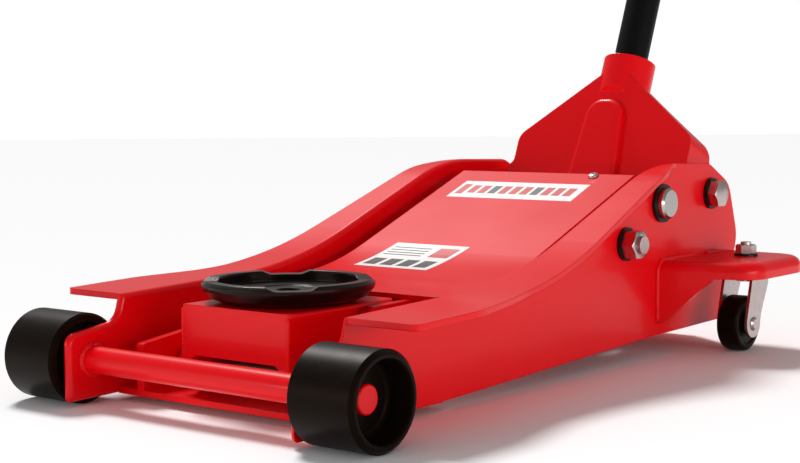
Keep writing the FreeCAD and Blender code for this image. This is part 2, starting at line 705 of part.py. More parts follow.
def arm_shaft():
    """Shaft right through the jack, held by a ring outside each side plate."""
    half = d.web_outer_x + 10
    radius = d.shaft_radius
    bar = [(0, -half), (radius - 2, -half), (radius, 2 - half), (radius, half - 2), (radius - 2, half),
           (0, half)]
    turned_part("arm_shaft", bar, 0, d.shaft_y, d.shaft_z, ALONG_X)
    rings = [ring(radius + 3.5, radius + 0.01, 3, d.web_outer_x * side, d.shaft_y, d.shaft_z,
                  outward(side)) for _, side in SIDES]
    finish(group(*rings), "arm_shaft_rings")


def cover_line(drop=0):
    """Side view of the cover plate's top from front to rear, lowered by drop."""
    return [(d.cover_front_y, d.cover_front_z - drop),
            (d.cover_knee_y, d.cover_knee_z - drop, d.cover_knee_radius + drop),
            (d.cover_rear_y, d.cover_rear_z - drop)]


def arm_cheek(label, side):
    """Side of the lift arm, with its crank below the shaft."""
    body = new_body(label)
    near = (d.cheek_x if side > 0 else -cheek_outer_x)
    top = cover_line(d.cover_wall)
    nose = d.head_pin_y - 21
    profile = [(nose, d.head_pin_z - 21, 20), (nose, d.cover_front_z - d.cover_wall - 1, 14)] + top
    profile += [(d.shaft_y + 28, d.shaft_z + 20, 22), (d.shaft_y + 30, d.shaft_z - 22, 40),
                (crank_y + 20, crank_z + 8, 14), (crank_y + 19, crank_z - 19, 18),
                (crank_y - 17, crank_z - 20, 16), (d.shaft_y - 60, d.shaft_z - 62, 120),
                (d.head_pin_y + 120, d.head_pin_z - 12, 200)]
    pad(body, "YZ_Plane", near, d.cheek_wall, draw_outline, profile)
    for y, z, radius in ((d.shaft_y, d.shaft_z, d.shaft_radius + d.running_gap),
                         (d.head_pin_y, d.head_pin_z, d.head_pin_radius),
                         (crank_y, crank_z, d.crank_pin_radius)):
        pocket(body, "YZ_Plane", near + d.cheek_wall, d.cheek_wall, draw_circle, y, z, radius)
    return finish(body, label)


def arm_cover():
    """Bent plate on top of the arm."""
    body = new_body("arm_cover_plate")
    half = d.cover_half_width
    outline = cover_line() + cover_line(d.cover_wall)[::-1]
    pad(body, "YZ_Plane", -half, 2 * half, draw_outline, outline)

    def front_corner(edge):
        bounds = edge.BoundBox
        upright = bounds.XMax - bounds.XMin < 0.01 and bounds.YMax - bounds.YMin < 0.5
        return upright and bounds.YMax < d.cover_front_y.value + 1

    round_edges(body, 8, front_corner)
    finish(body, "arm_cover_plate")
    slope_turn = Rotation(Vector(1, 0, 0), math.degrees(math.atan2(
        d.cover_rear_z.value - d.cover_knee_z.value, d.cover_rear_y.value - d.cover_knee_y.value)))
    finish(cylinder(5, 3), "cover_screw", d.cover_half_width - 41, d.cover_rear_y - 5.5, d.cover_rear_z - 2,
           slope_turn)


def arm_tubes():
    """Tubes welded between the arm's cheeks, round the shaft and near the head."""
    width = 2 * d.cheek_x
    finish(ring(d.torque_tube_radius, d.shaft_radius + d.running_gap, width, -d.cheek_x, 0, 0, ALONG_X),
           "arm_torque_tube", 0, d.shaft_y, d.shaft_z)
    finish(cylinder(9, width), "arm_cross_tube", -d.cheek_x, d.head_pin_y + 105, d.head_pin_z + 2, ALONG_X)
    reach = cheek_outer_x + 1.5
    finish(cylinder(d.head_pin_radius, 2 * reach), "head_pin", -reach, d.head_pin_y, d.head_pin_z, ALONG_X)
    pins = []
    for _, side in SIDES:
        pins.append(cylinder(d.crank_pin_radius, cheek_outer_x - d.traction_x + 2,
                             (d.traction_x - 2) * side, crank_y, crank_z, outward(side)))
    finish(group(*pins), "crank_pins")


def saddle_head():
    """Box that carries the saddle, open below and behind."""
    body = new_body("saddle_head")
    half, wall = d.head_half_width, d.head_wall
    low = link_z - 14
    side_view = [(d.head_front_y, d.head_top_z), (d.head_front_y, low + 22, 6), (link_y - 16, low, 12),
                 (link_y + 16, low, 12), (d.head_pin_y - 16, d.head_pin_z - 20, 10),
                 (d.head_pin_y + 18, d.head_pin_z - 18, 16), (d.head_rear_y, d.head_top_z - 14, 8),
                 (d.head_rear_y, d.head_top_z)]
    pad(body, "YZ_Plane", -half, 2 * half, draw_outline, side_view)
    inner = half - wall - 1
    cavity = [(d.head_front_y + wall, low - 1), (d.head_front_y + wall, d.head_top_z - wall, 4),
              (d.head_rear_y + 1, d.head_top_z - wall), (d.head_rear_y + 1, low - 1)]
    pocket(body, "YZ_Plane", inner, 2 * inner, draw_outline, cavity)
    mouth = [(-inner, low - 1), (inner, low - 1), (inner, low + 26, 8), (-inner, low + 26, 8)]
    pocket(body, "XZ_Plane", -(d.head_front_y - 1), wall + 2, draw_outline, mouth)
    boss = new_sketch(body, "XY_Plane", d.head_top_z - wall + 1)
    draw_circle(boss, 0, d.saddle_y, d.post_radius + 8)
    add_feature(body, "PartDesign::Pad", boss, 14, True)
    pocket(body, "XY_Plane", d.head_top_z, 30, draw_circle, 0, d.saddle_y, d.post_radius + d.running_gap)
    for y, z, radius in ((d.head_pin_y, d.head_pin_z, d.head_pin_radius + d.running_gap),
                         (link_y, link_z, d.thread_radius)):
        pocket(body, "YZ_Plane", half + 1, 2 * half + 2, draw_circle, y, z, radius)

    def outer_corner(edge):
        bounds = edge.BoundBox
        at_side = abs(abs(bounds.XMin) - half.value) < 0.01 and abs(bounds.XMax - bounds.XMin) < 0.01
        upright = bounds.YMax < d.head_front_y.value + 0.01
        top = bounds.ZMin > d.head_top_z.value - 0.01
        return at_side and (upright or top) and edge.Length > 20

    round_edges(body, 3, outer_corner)
    finish(body, "saddle_head")
    reach = equaliser_outer_x + 2.5
    finish(cylinder(d.thread_radius, 2 * reach), "equaliser_pin", -reach, link_y, link_z, ALONG_X)


def equaliser_bars():
    half, length_y, length_z = d.equaliser_half_height, d.stud_y - link_y, d.stud_z - link_z
    run = math.hypot(length_y.value, length_z.value)
    lean = (length_z.value / run, length_y.value / run)
    pieces = []
    for _, side in SIDES:
        body = new_body("equaliser_bar")
        near = d.equaliser_x if side > 0 else -equaliser_outer_x
        corners = []
        for y, z, along, across in ((link_y, link_z, -1, 1), (link_y, link_z, -1, -1),
                                    (d.stud_y, d.stud_z, 1, -1), (d.stud_y, d.stud_z, 1, 1)):
            corners.append((y + half * (along * lean[1] - across * lean[0]),
                            z + half * (along * lean[0] + across * lean[1]), half - 0.5))
        pad(body, "YZ_Plane", near, d.bar_wall, draw_outline, corners)
        for y, z in ((link_y, link_z), (d.stud_y, d.stud_z)):
            pocket(body, "YZ_Plane", near + d.bar_wall, d.bar_wall, draw_circle, y, z,
                   d.thread_radius + d.running_gap)
        pieces.append(body)
    finish(group(*pieces), "equaliser_bars")


def saddle():
    """Round cast pad with a lobed rim, a central ring and a post that turns in the head."""
    body = new_body("saddle")
    rim, cup, top = d.saddle_radius, d.saddle_cup_radius, d.saddle_top_z - d.head_top_z
    floor = top - d.saddle_cup_depth
    base = 0.6
    post_low = -24
    turn_profile(body, [
        (0, post_low), (d.post_radius - 2, post_low), (d.post_radius, post_low + 2), (d.post_radius, base),
        (rim - 16, base, 1.5), (rim - 6.5, base + 4, 6), (rim, base + 11, 4), (rim, top - 2.5, 1),
        (rim - 2.5, top, 1),
        (cup + 1, top, 0.8), (cup, top - 1.5), (cup, floor, 1), (36, floor), (35, floor + 0.9),
        (28, floor + 0.9), (27, floor), (10, floor), (9, floor - 2), (0, floor - 2)])
    valley = pocket(body, "XZ_Plane", -(rim + 5), 20, draw_outline,
                    [(-22, top + 1), (22, top + 1), (13, top - 3.2, 9), (-13, top - 3.2, 9)], reverse=True)
    doc.recompute()
    valleys = body.newObject("PartDesign::PolarPattern", "rim_valleys")
    valleys.Originals = [valley]
    axis = [item for item in body.Origin.OriginFeatures if item.Role == "Z_Axis"][0]
    valleys.Axis = (axis, [""])
    valleys.Angle = 360
    valleys.Occurrences = 4
    body.Tip = valleys
    finish(body, "saddle", 0, d.saddle_y, d.head_top_z, Rotation(Vector(0, 0, 1), 45))


def hydraulics():
    """Pump block, cylinder, reservoir, ram, crosshead and traction bars."""
    body = new_body("pump_block")
    half = d.block_half_width
    pad(body, "YZ_Plane", -half, 2 * half, draw_outline,
        [(d.block_front_y, d.floor_plate_z), (d.block_rear_y, d.floor_plate_z, 4),
         (d.block_rear_y, d.block_top_z, 6), (d.block_front_y, d.block_top_z, 6)])
    pocket(body, "XY_Plane", d.block_top_z, 50, draw_circle, 0, d.plunger_y,
           d.plunger_radius + d.running_gap)
    for x, y in pump_bolt_places():
        pocket(body, "XY_Plane", d.floor_plate_z + 14, 16, draw_circle, x, y, PUMP_BOLT_RADIUS)
    finish(body, "pump_block")
    bolts = [fuse(hexagon(7.5, 5.5, x, y, d.floor_plate_z - 13.5, UPRIGHT),
                  cylinder(PUMP_BOLT_RADIUS, 20, x, y, d.floor_plate_z - 8))
             for x, y in pump_bolt_places()]
    finish(group(*bolts), "pump_block_bolts")
    shell = ring(d.tube_radius, d.tube_radius - d.tube_wall, d.tube_length, 0, 0, 0, ALONG_Y)
    plug_y = d.tube_length - 45
    finish(cut(shell, cylinder(5, 20, 0, plug_y, d.tube_radius - 15)), "oil_reservoir", 0, tube_front_y,
           ram_z)
    finish(fuse(hexagon(8, 6, 0, 0, 0.5, UPRIGHT), cylinder(5, 4.5, 0, 0, -4)), "filler_plug", 0,
           tube_front_y + plug_y, ram_z + d.tube_radius)
    bore = d.piston_radius + d.running_gap
    finish(ring(bore + d.tube_wall, bore, d.tube_length - 12, 0, 12, 0, ALONG_Y), "cylinder_tube", 0,
           tube_front_y, ram_z)
    gland_hole = d.ram_radius + d.running_gap
    spigot = d.tube_radius - d.tube_wall - 0.05
    gland = [(gland_hole, -7), (d.tube_radius - 6, -7, 1), (d.tube_radius - 3, -4), (d.tube_radius, -3),
             (d.tube_radius, 0), (spigot, 0), (spigot, 12), (gland_hole, 12)]
    turned_part("front_gland", gland, 0, tube_front_y, ram_z, ALONG_Y)
    ram_back = d.block_front_y - crosshead_y - 6
    ram = [(0, 14), (d.ram_radius, 14), (d.ram_radius, ram_back - 16), (d.piston_radius, ram_back - 16),
           (d.piston_radius, ram_back), (0, ram_back)]
    turned_part("ram", ram, 0, crosshead_y, ram_z, ALONG_Y)
    head = new_body("crosshead")
    reach = d.traction_x - d.side_gap
    pad(head, "YZ_Plane", -reach, 2 * reach, draw_outline,
        [(-16, -15, 5), (14, -15, 3), (14, 15, 3), (-16, 15, 5)])
    pocket(head, "YZ_Plane", reach + 1, 2 * reach + 2, draw_circle, 0, 0, d.crank_pin_radius)
    finish(head, "crosshead", 0, crosshead_y, ram_z)
    pin_half = traction_outer_x + 3
    finish(cylinder(d.crank_pin_radius, 2 * pin_half), "crosshead_pin", -pin_half, crosshead_y, ram_z,
           ALONG_X)
    bars = []
    slot_gap = 1.6
    slot_half = d.crank_pin_radius + slot_gap
    slot_top = crank_dip / 2 + d.crank_pin_radius + 0.8
    for _, side in SIDES:
        bar = new_body("traction_bar")
        near = d.traction_x if side > 0 else -traction_outer_x
        eye, length = slot_top + 8, d.bar_length
        pad(bar, "YZ_Plane", near, d.bar_wall, draw_outline,
            [(-15, -15, 12), (length - 34, -15, 20), (length - 20, -eye, 8), (length + 19, -eye, 12),
             (length + 19, eye, 12), (length - 20, eye, 8), (length - 34, 15, 20), (-15, 15, 12)])
        pocket(bar, "YZ_Plane", near + d.bar_wall, d.bar_wall, draw_circle, 0, 0, d.crank_pin_radius)
        slot = [(length - slot_half, -slot_top, 8), (length + slot_half, -slot_top, 8),
                (length + slot_half, slot_top, 8), (length - slot_half, slot_top, 8)]
        pocket(bar, "YZ_Plane", near + d.bar_wall, d.bar_wall, draw_outline, slot)
        bars.append(bar)
    finish(group(*bars), "traction_bars", 0, crosshead_y, ram_z)


def coil_spring(coil_radius, wire, height, turns):
    """Open coil of half rings, tilted to one side and the other so that they meet end to end."""
    quarter = height / (4 * turns)
    tilt = math.degrees(math.atan2(quarter.value, coil_radius.value))
    half_rings = []
    for index in range(2 * turns):
        half = doc.addObject("Part::Torus", "half_ring")
        half.Radius1 = math.hypot(coil_radius.value, quarter.value)
        bind(half, "Radius1", coil_radius / Size(math.cos(math.radians(tilt)), f"cos({tilt:.9g} * 1 deg)"))
        half.Radius2 = wire
        half.Angle3 = 180
        turn = Rotation(Vector(0, 1, 0), tilt if index % 2 == 0 else -tilt)
        if index % 2:
            turn = turn * Rotation(Vector(0, 0, 1), 180)
        locate(half, 0, 0, quarter * (2 * index + 1), turn)
        half_rings.append(half)
    return fuse(*half_rings)


def pump():
    """Plunger with its return spring, gland and release valve."""
    gap = d.plunger_radius + d.running_gap
    gland_top = 8
    gland = cut(hexagon(14, gland_top, 0, 0, 0, UPRIGHT), cylinder(gap, gland_top, 0, 0, 0))
    finish(gland, "pump_gland", 0, d.plunger_y, d.block_top_z)
    travel = d.plunger_top_z - d.block_top_z
    plunger = [(0, -20), (d.plunger_radius, -20), (d.plunger_radius, travel - 4), (13, travel - 4),
               (13, travel - 1), (12, travel), (0, travel)]
    turned_part("pump_plunger", plunger, 0, d.plunger_y, d.block_top_z)
    wire = 1.2
    height = travel - 4 - gland_top - 2 * wire
    finish(coil_spring(d.plunger_radius + 3.2, wire, height, 4), "plunger_spring", 0, d.plunger_y,
           d.block_top_z + gland_top + wire)
    spindle = fuse(cylinder(6, 16, 0, 0, 0, ALONG_Y), hexagon(9, 8, 0, 16, 0, ALONG_Y))
    finish(spindle, "release_spindle", 0, d.block_rear_y + 0.2, ram_z - 18)


def yoke():
    """Cast handle socket: a hood with two cheeks, a front wall and an inclined tube."""
    body = new_body("yoke")
    half, shoulder, top, neck = d.yoke_half_width, d.shoulder_half_width, d.shoulder_top, d.hood_top
    silhouette = [(-half, -26, 10), (half, -26, 10), (half, 12, 8), (shoulder, 22, 8), (shoulder, top, 16),
                  (12, neck, 4), (-12, neck, 4), (-shoulder, top, 16), (-shoulder, 22, 8), (-half, 12, 8)]
    pad(body, "XZ_Plane", -38, 38 + d.hood_front, draw_outline, silhouette)
    rear_waste = [(45, neck + 2), (-6, neck + 2), (0, 80, 30), (20, 44, 14), (34, 8, 16), (34, -12, 10),
                  (14, -27), (45, -27)]
    pocket(body, "YZ_Plane", half + 1, 2 * half + 2, draw_outline, rear_waste)
    ceiling = top - 14
    tube = new_sketch(body, "XY_Plane", ceiling + 2)
    draw_circle(tube, 0, 0, d.socket_radius)
    add_feature(body, "PartDesign::Pad", tube, d.socket_top - ceiling - 2, False)
    front_waste = [(-d.socket_radius - 2, top - 20), (-d.hood_front, top - 20), (-d.hood_front, neck - 22),
                   (-d.socket_radius - 2, neck - 14)]
    pocket(body, "YZ_Plane", d.socket_radius, 2 * d.socket_radius, draw_outline, front_waste)
    pad(body, "XZ_Plane", d.hood_front - 2, d.rib_front - d.hood_front + 2, draw_outline,
        [(-27, -26), (27, -26), (27, 10, 60), (20, 88, 19), (-20, 88, 19), (-27, 10, 60)])

    def rib_rim(edge):
        return edge.BoundBox.YMax < 0.01 - d.rib_front.value and edge.BoundBox.ZMax > -25

    round_edges(body, 6, rib_rim)
    inside = half - 24
    cavity = [(-14, -28), (-14, ceiling, 6), (46, ceiling), (46, -28)]
    pocket(body, "YZ_Plane", inside, 2 * inside, draw_outline, cavity)
    pocket(body, "XY_Plane", d.socket_top + 1, d.socket_top + 2 - d.handle_seat + 0.5, draw_circle, 0, 0,
           d.handle_radius + 0.3)
    pocket(body, "YZ_Plane", half + 1, 2 * half + 2, draw_circle, 0, 0, d.thread_radius + d.running_gap)
    lean = d.handle_tilt
    across = (roller_y - d.yoke_y) * cosine(lean) - (roller_z - d.yoke_z) * sine(lean)
    up = (roller_y - d.yoke_y) * sine(lean) + (roller_z - d.yoke_z) * cosine(lean)
    pocket(body, "YZ_Plane", half + 1, 2 * half + 2, draw_circle, across, up, 6)
    screw_up = d.socket_top - 22
    pocket(body, "XZ_Plane", -(d.socket_radius + 2), 14, draw_circle, 0, screw_up, 5, reverse=True)
    turn = Rotation(Vector(1, 0, 0), -lean.value)
    finish(body, "yoke", 0, d.yoke_y, d.yoke_z, turn)
    finish(cylinder(6, 2 * half - 6), "roller_pin", 3 - half, roller_y, roller_z, ALONG_X)
    finish(ring(d.roller_radius, 6 + d.running_gap, 24, -12, 0, 0, ALONG_X), "pump_roller", 0, roller_y,
           roller_z)
    screw = fuse(hexagon(9, 7, 0, d.socket_radius + 1, 0, ALONG_Y),
                 cylinder(5, 8.6, 0, d.handle_radius + 0.6, 0, ALONG_Y))
    along_y, along_z = screw_up * sine(lean), screw_up * cosine(lean)
    finish(screw, "handle_screw", 0, d.yoke_y + along_y, d.yoke_z + along_z, turn)


def handle():
    """Two tubes joined end to end, with a rubber grip."""
    turn = Rotation(Vector(1, 0, 0), -d.handle_tilt.value)
    outer, wall = d.handle_radius, d.handle_wall
    spigot = outer - wall - 0.05
    lower = [(outer - wall, d.handle_seat), (outer, d.handle_seat), (outer, d.handle_split - 1),
             (outer - 1, d.handle_split), (outer - wall, d.handle_split)]
    turned_part("handle_lower_tube", lower, 0, d.yoke_y, d.yoke_z, turn)
    end = d.handle_length - d.grip_wall
    upper = [(spigot - wall, d.handle_split - 80), (spigot, d.handle_split - 80), (spigot, d.handle_split),
             (outer, d.handle_split), (outer, end), (spigot - wall, end)]
    turned_part("handle_upper_tube", upper, 0, d.yoke_y, d.yoke_z, turn)
    start = d.handle_length - d.grip_length
    grip = [(0, end), (outer, end), (outer, start), (grip_radius - 1, start), (grip_radius, start + 2)]
    grip += [(grip_radius, d.handle_length, d.grip_round), (0, d.handle_length)]
    turned_part("handle_grip", grip, 0, d.yoke_y, d.yoke_z, turn)


def check_document():
    """Stop if any object failed, a cut removed nothing, or a sub-part's shape is bad."""
    doc.recompute()
    faults = []
    for item in doc.Objects:
        if "Invalid" in item.State or "Error" in item.State:
            faults.append(f"{item.Name}: {item.State}")
        elif item.TypeId in ("PartDesign::Pocket", "PartDesign::Groove"):
            if item.Shape.Volume > item.BaseFeature.Shape.Volume - 1:
                faults.append(f"{item.Name}: the cut removes nothing")
    for part in subparts:
        if part.Shape.isNull() or not part.Shape.isValid():
            faults.append(f"{part.Label}: bad shape")
    if faults:
        raise RuntimeError("; ".join(faults))


def main():
    for side_name, side in SIDES:
        side_plate(side_name + "_side_plate", side)
        front_wheel(side_name, side)
        caster_bracket(side_name + "_caster_bracket", side)
        casters(side_name, side)
        arm_cheek(side_name + "_arm_cheek", side)
    front_axle()
    cross_members()
    caster_fasteners()
    plate_fasteners()
    arm_shaft()
    arm_cover()
    arm_tubes()
    saddle_head()
    equaliser_bars()
    saddle()
    hydraulics()
    pump()
    yoke()
    handle()
    check_document()
    for part in subparts:
        part.Shape.exportStep(f"parts/{part.Label}.step")
    print(len(subparts), "sub-parts written")


main()
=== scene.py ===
"""Looks of a low-profile trolley jack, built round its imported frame.

Metres, in the frame's own axes: +Y points to the rear, where the handle is, +X is the left side
and +Z is up from the floor.
"""
import json
import math

import bmesh
import bpy
import numpy as np
from mathutils import Matrix, Vector


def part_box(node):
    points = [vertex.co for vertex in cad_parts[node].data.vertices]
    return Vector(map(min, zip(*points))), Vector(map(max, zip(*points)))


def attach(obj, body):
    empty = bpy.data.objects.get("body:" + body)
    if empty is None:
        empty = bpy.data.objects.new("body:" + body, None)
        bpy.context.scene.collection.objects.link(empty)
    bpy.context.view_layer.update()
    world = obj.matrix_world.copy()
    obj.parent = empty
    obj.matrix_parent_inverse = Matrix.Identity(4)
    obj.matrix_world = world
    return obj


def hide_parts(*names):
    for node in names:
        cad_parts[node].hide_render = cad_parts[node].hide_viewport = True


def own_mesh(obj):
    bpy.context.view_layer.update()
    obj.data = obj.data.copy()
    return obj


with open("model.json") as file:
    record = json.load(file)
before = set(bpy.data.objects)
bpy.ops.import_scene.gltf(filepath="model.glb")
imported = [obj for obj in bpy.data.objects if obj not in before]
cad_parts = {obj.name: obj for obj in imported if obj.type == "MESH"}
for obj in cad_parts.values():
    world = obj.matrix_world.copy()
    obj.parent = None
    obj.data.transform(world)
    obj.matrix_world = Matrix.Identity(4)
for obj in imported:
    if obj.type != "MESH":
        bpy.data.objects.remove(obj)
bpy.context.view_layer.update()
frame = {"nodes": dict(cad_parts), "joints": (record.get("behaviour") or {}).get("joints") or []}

MM = 0.001
LEFT_AND_RIGHT = (1, -1)
SAME_POINT = 1e-6
CAMERA_AZIMUTH = 39.0
WARM_GLINT = "#9a6f58"
# Sockets of a Mix node that mixes colours: its two colours and its result.
MIX_DARK, MIX_LIGHT, MIX_COLOUR = 6, 7, 2


# ---------------------------------------------------------------- materials

def linear(hex_colour):
    """An sRGB hex colour as linear RGBA."""
    channels = [int(hex_colour[start:start + 2], 16) / 255 for start in (1, 3, 5)]
    return [c / 12.92 if c <= 0.04045 else ((c + 0.055) / 1.055) ** 2.4 for c in channels] + [1]


def per_metre(size_mm):
    """Scale of a texture on metre coordinates whose features are size_mm across."""
    return 1000 / size_mm


def add_node(tree, kind, inputs=None, **settings):
    """Adds a node with its settings, and fills or links its inputs."""
    node = tree.nodes.new(kind)
    for name, value in settings.items():
        setattr(node, name, value)
    for name, value in (inputs or {}).items():
        if isinstance(value, bpy.types.NodeSocket):
            tree.links.new(value, node.inputs[name])
        else:
            node.inputs[name].default_value = value
    return node


def make_material(name, finish):
    """A material whose Principled inputs come from finish(tree, object coordinates)."""
    material = bpy.data.materials.new(name)
    material.use_nodes = True
    tree = material.node_tree
    tree.nodes.clear()
    place = add_node(tree, "ShaderNodeTexCoord").outputs["Object"]
    shader = add_node(tree, "ShaderNodeBsdfPrincipled", finish(tree, place))
    add_node(tree, "ShaderNodeOutputMaterial", {"Surface": shader.outputs["BSDF"]})
    return material


def red_enamel(tree, place):
    """Stoved signal red enamel on the pressed and welded steel: deep even colour, orange peel in the
    gloss, soft paint-filled edges."""
    clouds = add_node(tree, "ShaderNodeTexNoise",
                      {"Vector": place, "Scale": per_metre(70), "Detail": 3, "Roughness": 0.5})
    colour = add_node(tree, "ShaderNodeMix",
                      {"Factor": clouds.outputs["Fac"], MIX_DARK: linear("#e8030f"),
                       MIX_LIGHT: linear("#f00412")}, data_type="RGBA")
    peel = add_node(tree, "ShaderNodeTexNoise",
                    {"Vector": place, "Scale": per_metre(3.5), "Detail": 2, "Roughness": 0.4})
    edge = add_node(tree, "ShaderNodeBevel", {"Radius": 1.1 * MM}, samples=6)
    relief = add_node(tree, "ShaderNodeBump",
                      {"Height": peel.outputs["Fac"], "Distance": 0.012 * MM, "Strength": 1,
                       "Normal": edge.outputs["Normal"]})
    gloss = add_node(tree, "ShaderNodeMapRange",
                     {"Value": clouds.outputs["Fac"], "To Min": 0.26, "To Max": 0.34})
    return {"Base Color": colour.outputs[MIX_COLOUR], "Roughness": gloss.outputs["Result"],
            "Normal": relief.outputs["Normal"], "Coat Normal": relief.outputs["Normal"],
            "IOR": 1.5, "Specular IOR Level": 0.16, "Coat Weight": 0.12, "Coat Roughness": 0.06}


def black_enamel(tree, place):
    """Thick black enamel on the cast saddle: glossy over a sandy cast skin."""
    skin = add_node(tree, "ShaderNodeTexNoise",
                    {"Vector": place, "Scale": per_metre(1.6), "Detail": 4, "Roughness": 0.6})
    edge = add_node(tree, "ShaderNodeBevel", {"Radius": 0.8 * MM}, samples=6)
    relief = add_node(tree, "ShaderNodeBump",
                      {"Height": skin.outputs["Fac"], "Distance": 0.10 * MM, "Strength": 1,
                       "Normal": edge.outputs["Normal"]})
    return {"Base Color": linear("#0e0906"), "Roughness": 0.3, "Normal": relief.outputs["Normal"],
            "IOR": 1.5, "Specular IOR Level": 0.3, "Specular Tint": linear(WARM_GLINT),
            "Coat Weight": 0.15, "Coat Roughness": 0.12}


def zinc_plate(tree, place):
    """Bright zinc plating: pale warm metal with faint drawing marks and a slightly uneven gloss."""
    patches = add_node(tree, "ShaderNodeTexNoise",
                       {"Vector": place, "Scale": per_metre(5), "Detail": 4, "Roughness": 0.6})
    colour = add_node(tree, "ShaderNodeMix",
                      {"Factor": patches.outputs["Fac"], MIX_DARK: linear("#a89a98"),
                       MIX_LIGHT: linear("#d6c9c6")}, data_type="RGBA")
    gloss = add_node(tree, "ShaderNodeMapRange",
                     {"Value": patches.outputs["Fac"], "To Min": 0.2, "To Max": 0.42})
    edge = add_node(tree, "ShaderNodeBevel", {"Radius": 0.3 * MM}, samples=4)
    relief = add_node(tree, "ShaderNodeBump",
                      {"Height": patches.outputs["Fac"], "Distance": 0.03 * MM, "Strength": 1,
                       "Normal": edge.outputs["Normal"]})
    return {"Base Color": colour.outputs[MIX_COLOUR], "Metallic": 1, "Roughness": gloss.outputs["Result"],
            "Normal": relief.outputs["Normal"]}


def bright_steel(tree, place):
    """Ground and polished steel: fine circumferential marks, faint oil film."""
    marks = add_node(tree, "ShaderNodeTexNoise",
                     {"Vector": place, "Scale": per_metre(0.8), "Detail": 3, "Roughness": 0.7})
    gloss = add_node(tree, "ShaderNodeMapRange",
                     {"Value": marks.outputs["Fac"], "To Min": 0.16, "To Max": 0.34})
    relief = add_node(tree, "ShaderNodeBump",
                      {"Height": marks.outputs["Fac"], "Distance": 0.01 * MM, "Strength": 1})
    return {"Base Color": linear("#b9b4b0"), "Metallic": 1, "Roughness": gloss.outputs["Result"],
            "Normal": relief.outputs["Normal"]}


def black_oxide(tree, place):
    """Blackened spring steel: dark, thin oxide over metal, oily sheen."""
    patches = add_node(tree, "ShaderNodeTexNoise",
                       {"Vector": place, "Scale": per_metre(4), "Detail": 4, "Roughness": 0.6})
    gloss = add_node(tree, "ShaderNodeMapRange",
                     {"Value": patches.outputs["Fac"], "To Min": 0.3, "To Max": 0.5})
    return {"Base Color": linear("#1d1a19"), "Metallic": 0.6, "Roughness": gloss.outputs["Result"]}


def pump_iron(tree, place):
    """Black-painted cast iron of the pump: dull, with a coarse sand-cast skin."""
    skin = add_node(tree, "ShaderNodeTexNoise",
                    {"Vector": place, "Scale": per_metre(1.4), "Detail": 5, "Roughness": 0.65})
    edge = add_node(tree, "ShaderNodeBevel", {"Radius": 1.2 * MM}, samples=4)
    relief = add_node(tree, "ShaderNodeBump",
                      {"Height": skin.outputs["Fac"], "Distance": 0.2 * MM, "Strength": 1,
                       "Normal": edge.outputs["Normal"]})
    return {"Base Color": linear("#1c1a1a"), "Roughness": 0.48, "Normal": relief.outputs["Normal"],
            "IOR": 1.5}


def black_nylon(tree, place):
    """Moulded black polyamide: satin, with faint flow marks and a brownish depth."""
    flow = add_node(tree, "ShaderNodeTexNoise",
                    {"Vector": place, "Scale": per_metre(9), "Detail": 4, "Roughness": 0.6})
    grain = add_node(tree, "ShaderNodeTexNoise",
                     {"Vector": place, "Scale": per_metre(0.9), "Detail": 2, "Roughness": 0.5})
    colour = add_node(tree, "ShaderNodeMix",
                      {"Factor": flow.outputs["Fac"], MIX_DARK: linear("#0c0704"),
                       MIX_LIGHT: linear("#150e09")}, data_type="RGBA")
    gloss = add_node(tree, "ShaderNodeMapRange",
                     {"Value": flow.outputs["Fac"], "To Min": 0.3, "To Max": 0.46})
    edge = add_node(tree, "ShaderNodeBevel", {"Radius": 0.8 * MM}, samples=4)
    relief = add_node(tree, "ShaderNodeBump",
                      {"Height": grain.outputs["Fac"], "Distance": 0.02 * MM, "Strength": 1,
                       "Normal": edge.outputs["Normal"]})
    return {"Base Color": colour.outputs[MIX_COLOUR], "Roughness": gloss.outputs["Result"],
            "Normal": relief.outputs["Normal"], "IOR": 1.53, "Specular IOR Level": 0.12,
            "Specular Tint": linear(WARM_GLINT)}


def bronze(tree, place):
    """Sintered bronze of the wheel bushes: warm, matt and slightly porous."""
    pores = add_node(tree, "ShaderNodeTexNoise",
                     {"Vector": place, "Scale": per_metre(0.6), "Detail": 3, "Roughness": 0.6})
    relief = add_node(tree, "ShaderNodeBump",
                      {"Height": pores.outputs["Fac"], "Distance": 0.03 * MM, "Strength": 1})
    return {"Base Color": linear("#a0713f"), "Metallic": 1, "Roughness": 0.42,
            "Normal": relief.outputs["Normal"]}


def black_powder(tree, place):
    """Black powder coat on the handle tubes: even, fine-pebbled and half glossy."""
    pebble = add_node(tree, "ShaderNodeTexNoise",
                      {"Vector": place, "Scale": per_metre(1.1), "Detail": 2, "Roughness": 0.5})
    relief = add_node(tree, "ShaderNodeBump",
                      {"Height": pebble.outputs["Fac"], "Distance": 0.05 * MM, "Strength": 1})
    return {"Base Color": linear("#080808"), "Roughness": 0.42, "Normal": relief.outputs["Normal"],
            "IOR": 1.5, "Specular IOR Level": 0.12}


def grip_rubber(tree, place):
    """Moulded black rubber of the hand grip: matt, with a fine eroded-mould grain."""
    grain = add_node(tree, "ShaderNodeTexNoise",
                     {"Vector": place, "Scale": per_metre(0.7), "Detail": 3, "Roughness": 0.6})
    relief = add_node(tree, "ShaderNodeBump",
                      {"Height": grain.outputs["Fac"], "Distance": 0.06 * MM, "Strength": 1})
    return {"Base Color": linear("#141414"), "Roughness": 0.7, "Normal": relief.outputs["Normal"],
            "IOR": 1.52}


